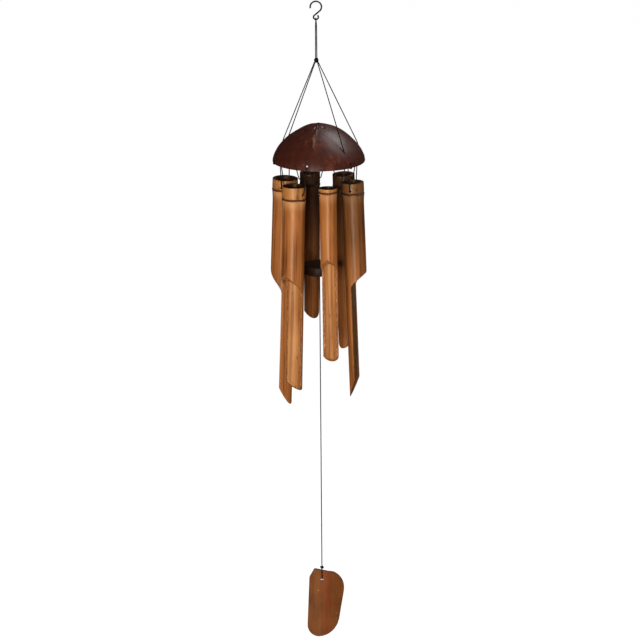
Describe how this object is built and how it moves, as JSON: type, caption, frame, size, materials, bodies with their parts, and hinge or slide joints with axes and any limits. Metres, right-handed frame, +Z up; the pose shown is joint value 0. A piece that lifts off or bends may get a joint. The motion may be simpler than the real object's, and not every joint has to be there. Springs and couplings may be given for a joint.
{
  "type": "wind chime",
  "caption": "Hanging wind chime: half coconut shell on cords from a wire hook, scooped bamboo tubes laced round its rim, a round clapper and a bamboo sail.",
  "frame": {"origin": "point inside the hook's bend where it bears on what holds it", "axes": "+Z up along the hanging cord, +X to the right and +Y to the back as the picture is seen, so a rod through the hook runs along Y"},
  "size_m": [0.1193, 0.1154, 0.8159],
  "materials": {
    "bamboo": "satin varnish",
    "coconut": "gloss lacquer",
    "clapper_wood": "satin",
    "cord": "twisted cord",
    "wire": "dark satin"
  },
  "bodies": {
    "hook": {"hanging_hook": "wire"},
    "hanger": {"hanger_loop": "cord"},
    "gathering_knot": {"hanger_knot": "cord"},
    "canopy": {"shell_cord_1": "cord", "shell_cord_2": "cord", "shell_cord_3": "cord", "shell_cord_4": "cord", "shell_stopper_knots": "cord", "coconut_shell": "coconut", "rim_stitches": "cord", "crown_knot": "cord"},
    "lacing_1": {"tube_lacing_1": "cord", "lacing_knots_1": "cord"},
    "chime_1": {"tube_1": "bamboo"},
    "lacing_2": {"tube_lacing_2": "cord", "lacing_knots_2": "cord"},
    "chime_2": {"tube_2": "bamboo"},
    "lacing_3": {"tube_lacing_3": "cord", "lacing_knots_3": "cord"},
    "chime_3": {"tube_3": "bamboo"},
    "lacing_4": {"tube_lacing_4": "cord", "lacing_knots_4": "cord"},
    "chime_4": {"tube_4": "bamboo"},
    "lacing_5": {"tube_lacing_5": "cord", "lacing_knots_5": "cord"},
    "chime_5": {"tube_5": "bamboo"},
    "lacing_6": {"tube_lacing_6": "cord", "lacing_knots_6": "cord"},
    "chime_6": {"tube_6": "bamboo"},
    "clapper_line": {"clapper_cord": "cord", "clapper_knot": "cord"},
    "clapper": {"clapper": "clapper_wood"},
    "sail_line": {"sail_cord": "cord"},
    "sail": {"sail_knot": "cord", "sail_loop": "cord", "sail": "bamboo"}
  },
  "joints": [
    {"name": "hanger_swing", "type": "hinge", "parent": "hook", "child": "hanger", "pos_m": [-0.00001, 0, -0.02206], "axis": [1, 0, 0], "range_deg": [-20, 20]},
    {"name": "knot_twist", "type": "hinge", "parent": "hanger", "child": "gathering_knot", "pos_m": [-0.00001, 0, -0.074], "axis": [0, 0, 1], "range_deg": [-180, 180]},
    {"name": "canopy_swing", "type": "hinge", "parent": "gathering_knot", "child": "canopy", "pos_m": [-0.00001, 0, -0.074], "axis": [0, 1, 0], "range_deg": [-20, 20]},
    {"name": "lacing_1_swing", "type": "hinge", "parent": "canopy", "child": "lacing_1", "pos_m": [-0.02863, -0.03002, -0.20037], "axis": [-0.7071, 0.7071, 0], "range_deg": [-1.5, 20]},
    {"name": "tube_1_rock", "type": "hinge", "parent": "lacing_1", "child": "chime_1", "pos_m": [-0.02863, -0.03002, -0.236], "axis": [0.7071, -0.7071, 0], "range_deg": [-15, 3]},
    {"name": "lacing_2_swing", "type": "hinge", "parent": "canopy", "child": "lacing_2", "pos_m": [0.01335, -0.04127, -0.20037], "axis": [-0.9659, -0.2588, 0], "range_deg": [-1.5, 20]},
    {"name": "tube_2_rock", "type": "hinge", "parent": "lacing_2", "child": "chime_2", "pos_m": [0.01335, -0.04127, -0.236], "axis": [0.9659, 0.2588, 0], "range_deg": [-15, 3]},
    {"name": "lacing_3_swing", "type": "hinge", "parent": "canopy", "child": "lacing_3", "pos_m": [0.04407, -0.01055, -0.20037], "axis": [-0.2588, -0.9659, 0], "range_deg": [-1.5, 20]},
    {"name": "tube_3_rock", "type": "hinge", "parent": "lacing_3", "child": "chime_3", "pos_m": [0.04407, -0.01055, -0.236], "axis": [0.2588, 0.9659, 0], "range_deg": [-15, 3]},
    {"name": "lacing_4_swing", "type": "hinge", "parent": "canopy", "child": "lacing_4", "pos_m": [0.03283, 0.03143, -0.20037], "axis": [0.7071, -0.7071, 0], "range_deg": [-1.5, 20]},
    {"name": "tube_4_rock", "type": "hinge", "parent": "lacing_4", "child": "chime_4", "pos_m": [0.03283, 0.03143, -0.236], "axis": [-0.7071, 0.7071, 0], "range_deg": [-15, 3]},
    {"name": "lacing_5_swing", "type": "hinge", "parent": "canopy", "child": "lacing_5", "pos_m": [-0.00915, 0.04267, -0.20037], "axis": [0.9659, 0.2588, 0], "range_deg": [-1.5, 20]},
    {"name": "tube_5_rock", "type": "hinge", "parent": "lacing_5", "child": "chime_5", "pos_m": [-0.00915, 0.04267, -0.236], "axis": [-0.9659, -0.2588, 0], "range_deg": [-15, 3]},
    {"name": "lacing_6_swing", "type": "hinge", "parent": "canopy", "child": "lacing_6", "pos_m": [-0.03987, 0.01195, -0.20037], "axis": [0.2588, 0.9659, 0], "range_deg": [-1.5, 20]},
    {"name": "tube_6_rock", "type": "hinge", "parent": "lacing_6", "child": "chime_6", "pos_m": [-0.03987, 0.01195, -0.236], "axis": [-0.2588, -0.9659, 0], "range_deg": [-15, 3]},
    {"name": "clapper_swing", "type": "hinge", "parent": "canopy", "child": "clapper_line", "pos_m": [0.0021, 0.0007, -0.1567], "axis": [1, 0, 0], "range_deg": [-2.5, 2.5]},
    {"name": "clapper_rock", "type": "hinge", "parent": "clapper_line", "child": "clapper", "pos_m": [0.0021, 0.0007, -0.334], "axis": [0, 1, 0], "range_deg": [-5, 5]},
    {"name": "sail_swing", "type": "hinge", "parent": "clapper_line", "child": "sail_line", "pos_m": [0.0021, 0.0007, -0.35132], "axis": [1, 0, 0], "range_deg": [-8, 8]},
    {"name": "sail_twist", "type": "hinge", "parent": "sail_line", "child": "sail", "pos_m": [0.0021, 0.0007, -0.72196], "axis": [0, 0, 1], "range_deg": [-150, 150]}
  ]
}
